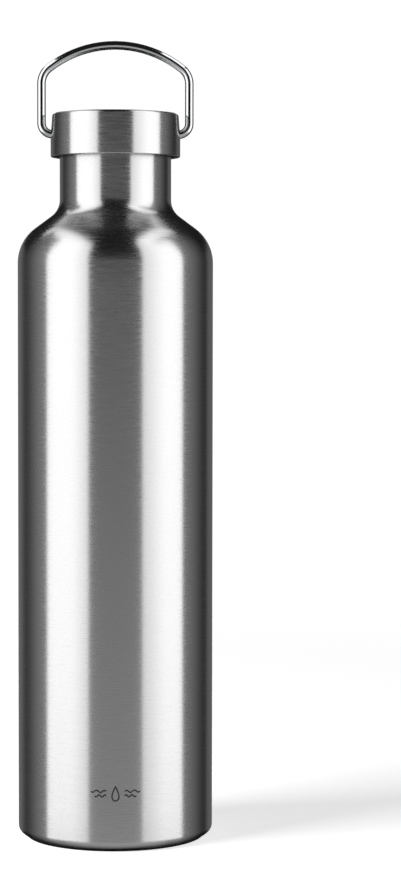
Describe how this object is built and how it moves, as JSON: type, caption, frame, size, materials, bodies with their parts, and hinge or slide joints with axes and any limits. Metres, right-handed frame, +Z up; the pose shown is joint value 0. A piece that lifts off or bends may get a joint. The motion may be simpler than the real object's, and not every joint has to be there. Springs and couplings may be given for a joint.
{
  "type": "insulated water bottle",
  "caption": "Tall double-wall brushed steel vacuum bottle with a rounded shoulder, a screw lid wider than the neck and a swinging wire bail.",
  "frame": {"origin": "centre of the base, on the floor", "axes": "+Z up along the bottle, +X along the bail's pivot line, -Y towards the front"},
  "size_m": [0.08, 0.08, 0.3264],
  "materials": {
    "brushed_steel_wall": "fine circumferential brushing on stainless steel, satin",
    "plain_steel": "drawn stainless steel, dull satin, unbrushed",
    "polished_steel": "polished stainless steel wire",
    "black_plastic": "moulded black polypropylene, fine matte texture",
    "black_silicone": "moulded black silicone rubber, matte",
    "solder_glass": "fused solder glass bead",
    "getter_metal": "pressed dark grey getter powder",
    "copper": "thin bright copper foil",
    "white_foam": "closed-cell insulating foam, matte"
  },
  "bodies": {
    "bottle": {"outer_shell": "brushed_steel_wall", "outer_bottom": "plain_steel", "base_cover": "brushed_steel_wall", "foot_ring": "black_silicone", "vacuum_seal_bead": "solder_glass", "getter_cup": "plain_steel", "getter_pellet": "getter_metal", "inner_liner": "plain_steel", "liner_bottom": "plain_steel", "copper_foil": "copper"},
    "gasket": {"lid_gasket": "black_silicone"},
    "lid": {"lid_shell": "brushed_steel_wall", "bail_carrier": "black_plastic", "threaded_plug": "black_plastic", "plug_foam": "white_foam"},
    "handle": {"bail_handle": "polished_steel"}
  },
  "joints": [
    {"name": "lid_rise", "type": "slide", "parent": "bottle", "child": "gasket", "axis": [0, 0, 1], "range_m": [0, 0.0201]},
    {"name": "lid_turn", "type": "hinge", "parent": "gasket", "child": "lid", "pos_m": [0, 0, 0], "axis": [0, 0, 1], "range_deg": [0, 1800]},
    {"name": "handle_swing", "type": "hinge", "parent": "lid", "child": "handle", "pos_m": [0, 0, 0.28838], "axis": [1, 0, 0], "range_deg": [-135, 135]}
  ],
  "couplings": [
    {"joint": "lid_rise", "follows": "lid_turn", "m_per_rad": 0.00063662}
  ]
}
